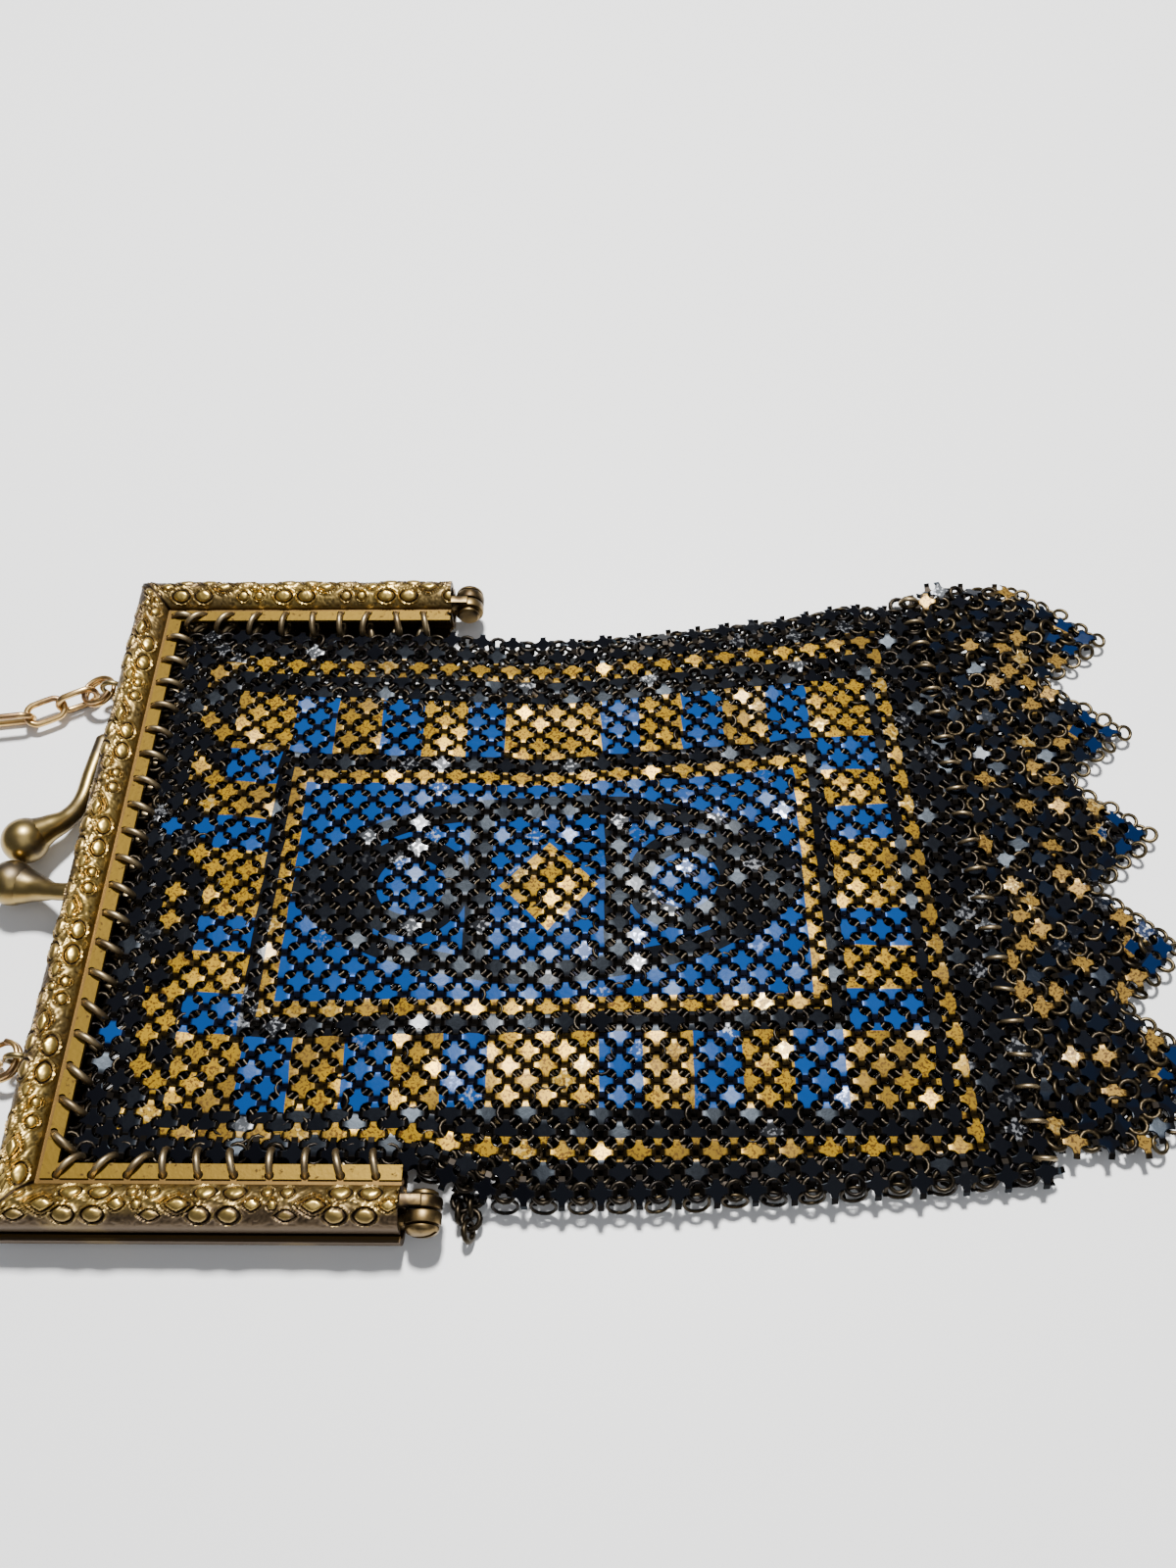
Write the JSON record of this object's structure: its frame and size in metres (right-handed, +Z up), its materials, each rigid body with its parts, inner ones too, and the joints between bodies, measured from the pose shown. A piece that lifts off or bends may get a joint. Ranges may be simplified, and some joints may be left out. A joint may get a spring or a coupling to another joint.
{
  "type": "metal mesh purse",
  "caption": "Flat enamelled metal mesh purse lying down: hollow mesh bag with a zigzag hem, hinged frame with a ball clasp, and a carrying chain.",
  "frame": {"origin": "on the table, under the middle of the purse and its laid-out chain", "axes": "+X from the chain and frame towards the zigzag hem, +Y across the purse, +Z up from the table"},
  "size_m": [0.2798, 0.1122, 0.0101],
  "materials": {
    "frame_gilt": "pressed gilt brass, brown tarnish in the hollows, rubbed bright on the high spots",
    "rivet_brass": "aged brass rivet, satin",
    "ring_brass": "dark bronzed brass wire",
    "chain_brass": "rosy gilt brass wire, worn",
    "enamel_mesh": "metal plates enamelled in blue, speckled gold and black, worn to bright metal in places"
  },
  "bodies": {
    "root": {"frame_front": "frame_gilt", "frame_back": "frame_gilt", "hinge_pin_far": "rivet_brass", "hinge_pin_near": "rivet_brass", "split_ring_far": "ring_brass", "split_ring_near": "ring_brass", "chain": "chain_brass", "mesh_front": "enamel_mesh", "mesh_back": "enamel_mesh", "mesh_hem": "enamel_mesh"}
  },
  "joints": []
}
